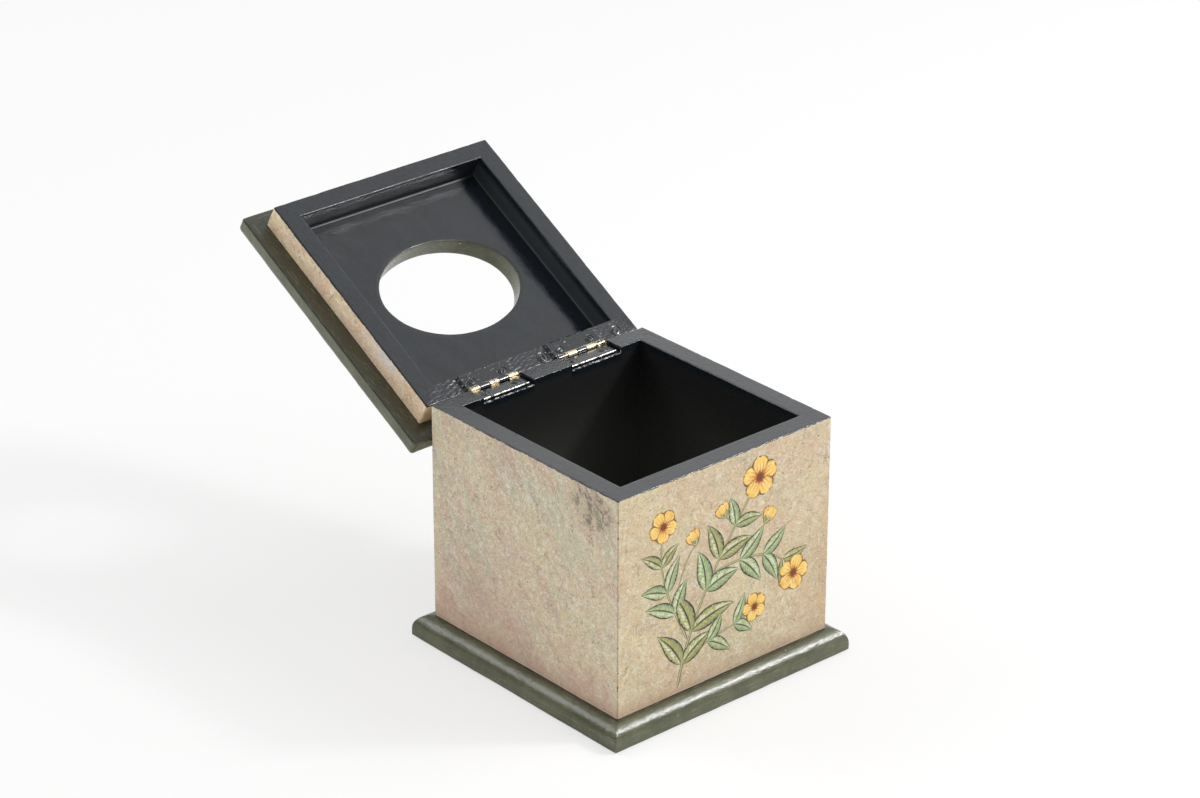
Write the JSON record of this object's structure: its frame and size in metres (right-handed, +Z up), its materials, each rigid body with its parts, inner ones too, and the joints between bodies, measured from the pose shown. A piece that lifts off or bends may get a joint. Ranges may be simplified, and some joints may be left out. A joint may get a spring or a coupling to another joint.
{
  "type": "tissue box cover",
  "caption": "Square painted wooden cover box for a cube tissue carton, with a hinged lid that has an oval opening for the tissues.",
  "frame": {"origin": "centre of the base plate's underside, on the surface that the box stands on", "axes": "+Z up, front (the decorated face) towards -Y, hinges towards +Y, +X to the right seen from the front"},
  "size_m": [0.1606, 0.2908, 0.1965],
  "materials": {
    "parchment_paint": "mottled parchment-coloured paint on wood, satin, with slate-black rims and inner faces",
    "olive_varnish": "thick glossy olive-green varnish paint on wood",
    "hinge_brass": "brass under glossy black paint that is worn through on the knuckles",
    "painted_screw_brass": "brass screw painted over in glossy black",
    "pin_steel": "bright steel panel pin"
  },
  "bodies": {
    "box": {"base_plate": "olive_varnish", "front_wall": "parchment_paint", "back_wall": "parchment_paint", "left_wall": "parchment_paint", "right_wall": "parchment_paint", "left_hinge_body_leaf": "hinge_brass", "left_hinge_pin": "hinge_brass", "right_hinge_body_leaf": "hinge_brass", "right_hinge_pin": "hinge_brass", "left_hinge_body_screw_1": "painted_screw_brass", "left_hinge_body_screw_2": "painted_screw_brass", "right_hinge_body_screw_1": "painted_screw_brass", "right_hinge_body_screw_2": "painted_screw_brass", "front_left_corner_pin_1": "pin_steel", "front_left_corner_pin_2": "pin_steel", "front_right_corner_pin_1": "pin_steel", "front_right_corner_pin_2": "pin_steel", "back_left_corner_pin_1": "pin_steel", "back_left_corner_pin_2": "pin_steel", "back_right_corner_pin_1": "pin_steel", "back_right_corner_pin_2": "pin_steel", "base_front_pin_1": "pin_steel", "base_front_pin_2": "pin_steel", "base_back_pin_1": "pin_steel", "base_back_pin_2": "pin_steel", "base_left_pin_1": "pin_steel", "base_left_pin_2": "pin_steel", "base_right_pin_1": "pin_steel", "base_right_pin_2": "pin_steel"},
    "lid": {"lid_top_panel": "olive_varnish", "lid_front_rail": "parchment_paint", "lid_back_rail": "parchment_paint", "lid_left_rail": "parchment_paint", "lid_right_rail": "parchment_paint", "left_hinge_lid_leaf": "hinge_brass", "right_hinge_lid_leaf": "hinge_brass", "left_hinge_lid_screw_1": "painted_screw_brass", "left_hinge_lid_screw_2": "painted_screw_brass", "right_hinge_lid_screw_1": "painted_screw_brass", "right_hinge_lid_screw_2": "painted_screw_brass", "lid_back_screw_1": "painted_screw_brass", "lid_back_screw_2": "painted_screw_brass", "lid_front_pin_1": "pin_steel", "lid_front_pin_2": "pin_steel", "lid_left_pin_1": "pin_steel", "lid_left_pin_2": "pin_steel", "lid_right_pin_1": "pin_steel", "lid_right_pin_2": "pin_steel"}
  },
  "joints": [
    {"name": "lid_hinge", "type": "hinge", "parent": "box", "child": "lid", "pos_m": [0, 0.071, 0.1294], "axis": [1, 0, 0], "range_deg": [0, 150.83]}
  ]
}
